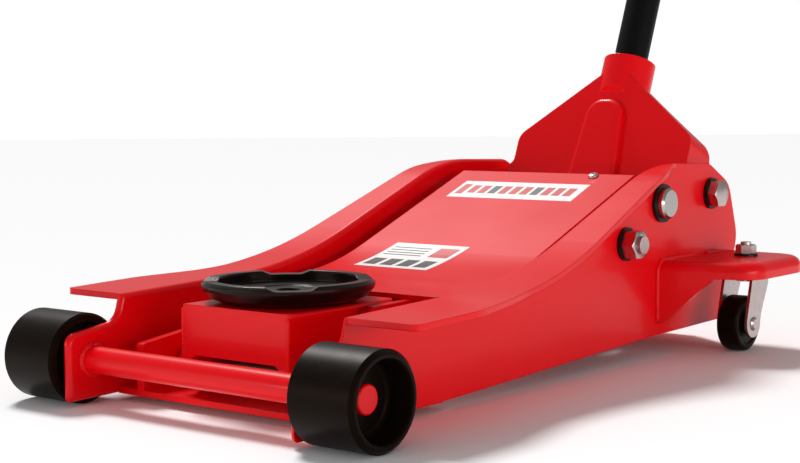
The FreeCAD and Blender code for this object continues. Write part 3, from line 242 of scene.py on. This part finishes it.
def vinyl(tree, place, ink):
    """Printed vinyl film: glossy, with a faint unevenness where it follows the steel."""
    dents = add_node(tree, "ShaderNodeTexNoise",
                     {"Vector": place, "Scale": per_metre(12), "Detail": 2, "Roughness": 0.5})
    relief = add_node(tree, "ShaderNodeBump",
                      {"Height": dents.outputs["Fac"], "Distance": 0.05 * MM, "Strength": 1})
    return {"Base Color": linear(ink), "Roughness": 0.35, "Normal": relief.outputs["Normal"],
            "IOR": 1.5, "Specular IOR Level": 0.3}


def white_vinyl(tree, place):
    """Unprinted white vinyl."""
    return vinyl(tree, place, "#f6f2ef")


def red_print(tree, place):
    """Red ink on vinyl."""
    return vinyl(tree, place, "#cf2127")


def grey_print(tree, place):
    """Dark grey ink on vinyl."""
    return vinyl(tree, place, "#4a4546")


FINISHES = {finish.__name__: make_material(finish.__name__, finish)
            for finish in (red_enamel, black_enamel, zinc_plate, bright_steel, black_oxide,
                           pump_iron, black_nylon, bronze, black_powder, grip_rubber,
                           white_vinyl, red_print, grey_print)}


def finish_nodes():
    """Gives every node of the frame the finish that its own slot names."""
    for node in frame["nodes"].values():
        for index, old in enumerate(node.data.materials):
            node.material_slots[index].material = FINISHES[old.name.split(".")[0]]


# ---------------------------------------------------------------- surfaces

def shell(points, wrap_rows=False, wrap_columns=False):
    """Vertices and faces of a grid of points (rows, columns, xyz): four neighbours make a face. The
    volume is a sixth of the sum of the triangles' triple products, and where it is negative every face
    is turned round, so a closed shell faces outwards."""
    rows, columns = points.shape[:2]
    index = np.arange(rows * columns).reshape(rows, columns)
    if wrap_rows:
        index = np.concatenate([index, index[:1]], 0)
    if wrap_columns:
        index = np.concatenate([index, index[:, :1]], 1)
    faces = np.stack([index[:-1, :-1], index[:-1, 1:], index[1:, 1:], index[1:, :-1]], -1)
    faces = faces.reshape(-1, 4)
    flat = points.reshape(-1, 3)
    centred = flat - flat.mean(0)
    a, b, c, e = (centred[faces[:, corner]] for corner in range(4))
    volume = (a * np.cross(b, c)).sum() + (a * np.cross(c, e)).sum()
    return flat, faces[:, ::-1] if volume < 0 else faces


def build(name, shells, finish, body, nodes=(), sharp=35):
    """One object from shells, in a finish, on a body, in place of the named nodes."""
    first = np.cumsum([0] + [len(points) for points, _ in shells[:-1]])
    points = np.concatenate([points for points, _ in shells])
    faces = np.concatenate([faces + start for (_, faces), start in zip(shells, first)])
    mesh = bpy.data.meshes.new(name)
    mesh.from_pydata(points.tolist(), [], faces.tolist())
    seams = bmesh.new()
    seams.from_mesh(mesh)
    bmesh.ops.remove_doubles(seams, verts=seams.verts, dist=SAME_POINT)
    seams.to_mesh(mesh)
    seams.free()
    mesh.materials.append(FINISHES[finish])
    mesh.polygons.foreach_set("use_smooth", [True] * len(mesh.polygons))
    mesh.set_sharp_from_angle(angle=math.radians(sharp))
    thing = bpy.data.objects.new(name, mesh)
    bpy.context.scene.collection.objects.link(thing)
    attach(thing, body)
    if nodes:
        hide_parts(*nodes)
    return thing


def basis(axis):
    """Three unit rows: two square to the axis, and the axis itself. The first is X, or Z where the
    axis lies close to X, less its own share along the axis."""
    axis = np.array(axis, float) / np.linalg.norm(axis)
    side = np.array([1.0, 0, 0]) if abs(axis[0]) < 0.9 else np.array([0, 0, 1.0])
    side = side - axis * (side @ axis)
    side /= np.linalg.norm(side)
    return np.stack([side, np.cross(axis, side), axis])


def turned(profile, place, axis, segments=64):
    """Profile of (radius, height) swept in a full circle: each point is (radius cos a, radius sin a,
    height) in the axes of basis(axis), from place. Both ends close on the axis."""
    profile = np.array([(0, profile[0][1])] + list(profile) + [(0, profile[-1][1])], float)
    angle = np.arange(segments) * 2 * np.pi / segments
    radius, height = profile[:, :1], profile[:, 1:]
    local = np.stack([radius * np.cos(angle), radius * np.sin(angle), height + 0 * angle], -1)
    return shell(local @ basis(axis) + np.array(place), wrap_columns=True)


def hexagonal(flats, height, place, axis, bore=0.0, segments=96):
    """Nut or bolt head: the radius is flats / 2 / cos of the angle from the nearest flat's middle, and
    outside the chamfer's circle both ends fall away by the chamfer's slope."""
    chamfer_share, chamfer_degrees = 0.985, 30
    angle = np.arange(segments) * 2 * np.pi / segments
    sector = (angle + np.pi / 6) % (np.pi / 3) - np.pi / 6
    outer = flats / 2 / np.cos(sector)
    circle = flats / 2 * chamfer_share + 0 * angle
    drop = (outer - circle) * math.tan(math.radians(chamfer_degrees))
    inner, bottom, top = bore + 0 * angle, 0 * angle, height + 0 * angle
    radius = np.stack([inner, circle, outer, outer, circle, inner])
    level = np.stack([bottom, bottom, drop, height - drop, top, top])
    local = np.stack([radius * np.cos(angle), radius * np.sin(angle), level], -1)
    return shell(local @ basis(axis) + np.array(place), wrap_rows=bore > 0, wrap_columns=True)


def tube(centre, radius, plane, segments=14):
    """Round tube along a line of centres, with a radius for every centre: a ring's points are centre +
    radius * (cos a * side + sin a * up), where side and up are square to the line. plane is a direction
    that the line never follows."""
    ahead = np.gradient(centre, axis=0)
    side = np.cross(ahead, np.array(plane, float))
    side /= np.linalg.norm(side, axis=1, keepdims=True)
    up = np.cross(ahead, side)
    up /= np.linalg.norm(up, axis=1, keepdims=True)
    angle = (np.arange(segments) * 2 * np.pi / segments)[None, :, None]
    spread = np.cos(angle) * side[:, None] + np.sin(angle) * up[:, None]
    return shell(centre[:, None] + radius[:, None, None] * spread, wrap_columns=True)


def rounded_end(travel, radius):
    """Share of the full radius along a line whose two ends close like a hemisphere: the root of
    1 - (1 - distance from the end / radius) squared."""
    end = np.clip(np.minimum(travel, travel[-1] - travel) / radius, 0, 1)
    return np.sqrt(np.clip(1 - (1 - end) ** 2, 0, 1))


def bead(path, radius, pitch=2.6 * MM):
    """Weld bead: a tube along the path whose radius swells by a ripple of |sin| once every pitch and
    closes at its ends."""
    ripple, rings_per_pitch, off_path = 0.12, 5, (0.57, 0.36, 0.74)
    path = np.array(path, float)
    steps = np.linalg.norm(np.diff(path, axis=0), axis=1)
    reach = np.concatenate([[0], np.cumsum(steps)])
    travel = np.linspace(0, reach[-1], int(reach[-1] / pitch * rings_per_pitch) + 2)
    centre = np.stack([np.interp(travel, reach, path[:, k]) for k in range(3)], -1)
    swell = radius * (1 - ripple + ripple * np.abs(np.sin(np.pi * travel / pitch)))
    return tube(centre, swell * rounded_end(travel, radius), off_path)


def circle_path(place, radius, axis, samples=60):
    """Closed circle round an axis: (radius cos a, radius sin a, 0) in the axes of basis(axis)."""
    angle = np.linspace(0, 2 * np.pi, samples)
    local = np.stack([radius * np.cos(angle), radius * np.sin(angle), 0 * angle], -1)
    return local @ basis(axis) + np.array(place)


def middle(node):
    """Middle of a node's box."""
    low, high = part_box(node)
    return (low + high) / 2


# ---------------------------------------------------------------- fasteners

def plate_nuts():
    """Nuts of the equaliser studs: chamfered hexagons, one on each side."""
    low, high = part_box("equaliser_nuts")
    y, z = middle("equaliser_nuts")[1:]
    flats, tall, bore = min(high.y - low.y, high.z - low.z), 13 * MM, 7.95 * MM
    shells = [hexagonal(flats, tall, ((high.x - tall) * side, y, z), (side, 0, 0), bore)
              for side in LEFT_AND_RIGHT]
    build("stud_nuts", shells, "zinc_plate", "chassis", ["equaliser_nuts"])


def yoke_bolt_pieces():
    """Bolts of the yoke: a chamfered head outside each side plate and a plain shank inside."""
    low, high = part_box("yoke_bolts")
    y, z = middle("yoke_bolts")[1:]
    flats, tall = min(high.y - low.y, high.z - low.z), 10 * MM
    shank, shank_length, sunk, segments = 8 * MM, 41 * MM, 0.2 * MM, 40
    profile = [(shank, 0), (shank, shank_length - MM), (shank - MM, shank_length)]
    shells = []
    for side in LEFT_AND_RIGHT:
        face = (high.x - tall) * side
        shells.append(hexagonal(flats, tall, (face, y, z), (side, 0, 0)))
        shells.append(turned(profile, (face + sunk * side, y, z), (-side, 0, 0), segments))
    build("yoke_bolt_set", shells, "zinc_plate", "chassis", ["yoke_bolts"])


def caster_nut_pieces():
    """Lock nuts on the king pins of the casters."""
    low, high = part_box("caster_nuts")
    pin_low, pin_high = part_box("caster_king_pins")
    pin_radius = (pin_high.y - pin_low.y) / 2
    x, y = pin_high.x - pin_radius, middle("caster_nuts")[1]
    flats, bore = 17 * MM, 5.02 * MM
    shells = [hexagonal(flats, high.z - low.z, (x * side, y, low.z), (0, 0, 1), bore)
              for side in LEFT_AND_RIGHT]
    build("lock_nuts", shells, "zinc_plate", "chassis", ["caster_nuts"])


def cover_screw_piece():
    """Low domed head of the screw at the rear edge of the cover plate, with a round recess."""
    rise, run = cover_slope()
    axis = np.array([0, -rise, run]) / math.hypot(rise, run)
    radius, tall, edge, sunk = 5 * MM, 2.9 * MM, 0.9 * MM, 1.5 * MM
    place = np.array(middle("cover_screw")) - axis * sunk
    dome = [(radius, 0), (radius, edge), (radius * 0.9, tall * 0.66), (radius * 0.66, tall * 0.88),
            (radius * 0.3, tall), (radius * 0.28, tall * 0.6)]
    build("cover_screw_head", [turned(dome, place, axis)], "zinc_plate", "lift_arm", ["cover_screw"])


def spring_piece():
    """Return spring of the plunger: wire along a helix, (coil cos a, coil sin a, rise of a), whose end
    turns lie flat."""
    low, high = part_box("plunger_spring")
    centre = middle("plunger_spring")
    wire, turns, flat_turns, samples_per_turn = 1.2 * MM, 6, 0.8, 70
    coil = (high.x - low.x) / 2 - wire
    turn = np.linspace(0, turns, turns * samples_per_turn)
    angle = 2 * np.pi * turn
    rise = np.clip((turn - flat_turns) / (turns - 2 * flat_turns), 0, 1)
    path = np.stack([centre.x + coil * np.cos(angle), centre.y + coil * np.sin(angle),
                     low.z + wire + (high.z - low.z - 2 * wire) * rise], -1)
    radius = wire * rounded_end(angle * coil, wire)
    spring = build("return_spring", [tube(path, radius, (0, 0, 1), 12)], "black_oxide", "chassis",
                   ["plunger_spring"])
    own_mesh(spring)


# ---------------------------------------------------------------- cover plate

def cover_top():
    """Heights of the cover plate's upper face, as (y, z) from front to rear: the highest point at each
    y, less the stations that stand too close together or lower than the one before."""
    same_y, shortest_step = 2e-5, 1e-4
    points = np.array([v.co for v in frame["nodes"]["arm_cover_plate"].data.vertices])
    stations = np.unique(points[:, 1].round(5))
    heights = np.array([points[np.abs(points[:, 1] - y) < same_y, 2].max() for y in stations])
    keep = [0]
    for here in range(1, len(stations)):
        rises = heights[here] > heights[keep[-1]] - SAME_POINT
        if rises and stations[here] - stations[keep[-1]] > shortest_step:
            keep.append(here)
    return stations[keep], heights[keep]


def cover_slope():
    """Rise and run of the straight rear part of the cover plate."""
    stations, heights = cover_top()
    return heights[-1] - heights[-3], stations[-1] - stations[-3]


def film(corner, size, skew, lift):
    """Thin sheet draped over the cover plate: at every point of a skewed rectangle its height is the
    plate's height there plus lift, and its upper face is a thickness above that."""
    thickness, columns, rows = 0.1 * MM, 12, 40
    across = np.linspace(0, 1, columns)[None]
    along = np.linspace(0, 1, rows)[:, None]
    y = corner[1] + size[1] * along + 0 * across
    x = corner[0] + size[0] * across + skew * along
    stations, heights = cover_top()
    under = np.stack([x, y, np.interp(y, stations, heights) + lift], -1)
    over = under + np.array([0, 0, thickness])
    return shell(np.concatenate([under[:1], over, under[-1:], under[::-1]]))


def label(name, corner, size, skew, prints):
    """White film with plain printed bars; each bar is (finish, across, along, width, depth) in
    shares of the label."""
    film_lift, ink_lift = 0.05 * MM, 0.12 * MM
    build(name, [film(corner, size, skew, film_lift)], "white_vinyl", "lift_arm")
    for finish in sorted({bar[0] for bar in prints}):
        bars = [film((corner[0] + size[0] * across + skew * along, corner[1] + size[1] * along),
                     (size[0] * width, size[1] * depth), skew * depth, ink_lift)
                for ink, across, along, width, depth in prints if ink == finish]
        build(name + "_" + finish, bars, finish, "lift_arm")


def cover_labels():
    """Sales label at the rear of the cover plate, and instruction label further forward."""
    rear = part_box("arm_cover_plate")[1].y
    inks = ["grey_print" if index % 4 == 2 else "red_print" for index in range(10)]
    blocks = [(ink, 0.12 + 0.085 * index, 0.28, 0.06, 0.46) for index, ink in enumerate(inks)]
    blocks += [("red_print", 0.03, 0.2, 0.06, 0.6)]
    label("sales_label", (-77 * MM, rear - 57 * MM), (142 * MM, 34 * MM), 0, blocks)
    rules = [("grey_print", 0.06, 0.56 + 0.09 * index, 0.52, 0.03) for index in range(4)]
    rules += [("grey_print", 0.06 + 0.23 * index, 0.1, 0.17, 0.3) for index in range(4)]
    rules += [("red_print", 0.68, 0.55, 0.26, 0.34)]
    label("instruction_label", (-70 * MM, rear - 203 * MM), (82 * MM, 52 * MM), 9 * MM, rules)


# ---------------------------------------------------------------- welds

def axle_welds():
    """Ring of weld round the axle, on the inner face of each side plate."""
    low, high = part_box("front_axle")
    y, z = middle("front_axle")[1:]
    bead_radius, sunk, clear = 3 * MM, 0.3 * MM, 0.5 * MM
    ring_radius = (high.z - low.z) / 2 + clear
    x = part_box("pump_floor_plate")[1].x - sunk
    shells = [bead(circle_path((x * side, y, z), ring_radius, (side, 0, 0)), bead_radius)
              for side in LEFT_AND_RIGHT]
    build("axle_welds", shells, "red_enamel", "chassis")


def bracket_welds():
    """Beads where the caster brackets meet the side plates: one up the front edge and on along the
    top, and after a gap one more along the top."""
    low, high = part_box("left_caster_bracket")
    front, rear, top = low.y, high.y, high.z
    bead_radius, sunk, proud = 2.6 * MM, 0.4 * MM, 0.2 * MM
    gap_front, gap_rear, rear_margin = front + 70 * MM, front + 92 * MM, rear - 30 * MM
    shells = []
    for side in LEFT_AND_RIGHT:
        x = (low.x + sunk) * side
        edge = [(x, front - proud, low.z + 2 * MM), (x, front - proud, top - 8 * MM),
                (x, front + 7 * MM, top + 0.1 * MM), (x, gap_front, top + proud)]
        shells.append(bead(edge, bead_radius))
        shells.append(bead([(x, gap_rear, top + proud), (x, rear_margin, top + proud)], bead_radius))
    build("bracket_welds", shells, "red_enamel", "chassis")


def head_welds():
    """Bead down each front corner of the saddle head."""
    low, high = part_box("saddle_head")
    bead_radius, pitch, inset = 2.1 * MM, 3.4 * MM, 1.1 * MM
    top, bottom, y = high.z - 3 * MM, high.z - 52 * MM, low.y + inset
    shells = []
    for side in LEFT_AND_RIGHT:
        x = (high.x - inset) * side
        shells.append(bead([(x, y, top), (x, y, bottom)], bead_radius, pitch))
    build("head_welds", shells, "red_enamel", "head")


# ---------------------------------------------------------------- handle

def grip_piece():
    """Ribbed grip, turned round the handle: between two plain collars the radius dips once every rib
    by depth * |sin| ** 0.7, and a quarter circle rounds the far end."""
    joint = [j for j in frame["joints"] if j["name"] == "handle_twist"][0]
    axis, start = np.array(joint["axis"], float), np.array(joint["pos_m"], float)
    axis *= np.sign(axis[2])
    points = np.array([v.co for v in frame["nodes"]["handle_grip"].data.vertices]) - start
    reach = points @ axis
    radius = np.linalg.norm(points - reach[:, None] * axis, axis=1).max()
    low, high = reach.min(), reach.max()
    rib, depth, collar, edge, end = 7 * MM, 1.3 * MM, 9 * MM, 1.2 * MM, 6 * MM
    level = np.linspace(low + 1.5 * MM, high - end, 220)
    inside = (level > low + collar) & (level < high - collar - end)
    dip = depth * inside * np.abs(np.sin(np.pi * (level - low - collar) / rib)) ** 0.7
    turn = np.linspace(0, np.pi / 2, 9)[1:]
    profile = [(radius - edge, low), (radius, low + edge)]
    profile += list(zip(radius - dip, level))
    profile += [(radius - end * (1 - math.cos(t)), high - end * (1 - math.sin(t))) for t in turn]
    build("ribbed_grip", [turned(profile, start, axis)], "grip_rubber", "handle", ["handle_grip"])


# ---------------------------------------------------------------- stage

def pale_floor(tree, place):
    """Matt white studio floor."""
    return {"Base Color": linear("#fbfbfb"), "Roughness": 0.9, "Specular IOR Level": 0.1}


def build_floor():
    """Flat square of floor, far wider than the view."""
    half = 12
    corners = [(-half, -half, 0), (half, -half, 0), (half, half, 0), (-half, half, 0)]
    mesh = bpy.data.meshes.new("floor")
    mesh.from_pydata(corners, [], [(0, 1, 2, 3)])
    mesh.materials.append(make_material("pale_floor", pale_floor))
    floor = bpy.data.objects.new("floor", mesh)
    bpy.context.scene.collection.objects.link(floor)


def glowing_white(tree, place):
    """Evenly lit white paper behind the jack."""
    return {"Base Color": linear("#000000"), "Emission Color": linear("#ffffff"), "Emission Strength": 1}


def build_backdrop():
    """Upright sheet far behind the jack, square to the camera's line of sight."""
    distance, half, height = 9, 12, 8
    turn = math.radians(CAMERA_AZIMUTH)
    ahead = Vector((-math.sin(turn), math.cos(turn), 0))
    right = Vector((math.cos(turn), math.sin(turn), 0))
    low_left, low_right = ahead * distance - right * half, ahead * distance + right * half
    up = Vector((0, 0, height))
    mesh = bpy.data.meshes.new("backdrop")
    mesh.from_pydata([low_left, low_right, low_right + up, low_left + up], [], [(0, 1, 2, 3)])
    mesh.materials.append(make_material("glowing_white", glowing_white))
    backdrop = bpy.data.objects.new("backdrop", mesh)
    bpy.context.scene.collection.objects.link(backdrop)
    backdrop.visible_shadow = backdrop.visible_glossy = backdrop.visible_diffuse = False


def add_light(name, place, target, width, height, power):
    """Soft rectangular light at place, facing target."""
    lamp = bpy.data.lights.new(name, "AREA")
    lamp.shape = "RECTANGLE"
    lamp.size, lamp.size_y = width, height
    lamp.energy = power
    light = bpy.data.objects.new(name, lamp)
    place, target = Vector(place), Vector(target)
    light.matrix_world = Matrix.Translation(place) @ (
        target - place).to_track_quat("-Z", "Y").to_matrix().to_4x4()
    bpy.context.scene.collection.objects.link(light)


def add_sun(name, towards, spread_degrees, strength):
    """Even light over the whole floor from one direction, with soft-edged shadows."""
    lamp = bpy.data.lights.new(name, "SUN")
    lamp.angle = math.radians(spread_degrees)
    lamp.energy = strength
    light = bpy.data.objects.new(name, lamp)
    light.matrix_world = (-Vector(towards)).to_track_quat("-Z", "Y").to_matrix().to_4x4()
    bpy.context.scene.collection.objects.link(light)


def build_lights():
    """A soft light in front, one along the left side, a broad sun from behind and a faint white world."""
    jack = (0, 0, 0.1)
    add_light("front", (-0.9, -2.6, 0.5), jack, width=1.6, height=0.5, power=13)
    add_light("right", (2.5, -0.5, 0.32), jack, width=1.8, height=0.4, power=18)
    add_sun("window", (-0.8, 0.4, 1.2), spread_degrees=16, strength=2.7)
    world = bpy.data.worlds.new("studio")
    world.use_nodes = True
    background = world.node_tree.nodes["Background"]
    background.inputs["Color"].default_value = (1, 1, 1, 1)
    background.inputs["Strength"].default_value = 0.3
    scene = bpy.context.scene
    scene.world = world
    scene.view_settings.view_transform = "Standard"


def build_camera():
    """Camera low at the front, looking along the left side."""
    drop, roll, place = 4.7, -0.4, (0.8475, -1.3010, 0.2364)
    lens = bpy.data.cameras.new("camera")
    lens.sensor_width = 36
    lens.lens = 71.2
    lens.clip_start = 0.01
    camera = bpy.data.objects.new("camera", lens)
    camera.matrix_world = (Matrix.Translation(place)
                           @ Matrix.Rotation(math.radians(CAMERA_AZIMUTH), 4, "Z")
                           @ Matrix.Rotation(math.radians(90 - drop), 4, "X")
                           @ Matrix.Rotation(math.radians(roll), 4, "Z"))
    bpy.context.scene.collection.objects.link(camera)
    bpy.context.scene.camera = camera


finish_nodes()
plate_nuts()
yoke_bolt_pieces()
caster_nut_pieces()
cover_screw_piece()
spring_piece()
cover_labels()
axle_welds()
bracket_welds()
head_welds()
grip_piece()
build_floor()
build_backdrop()
build_lights()
build_camera()
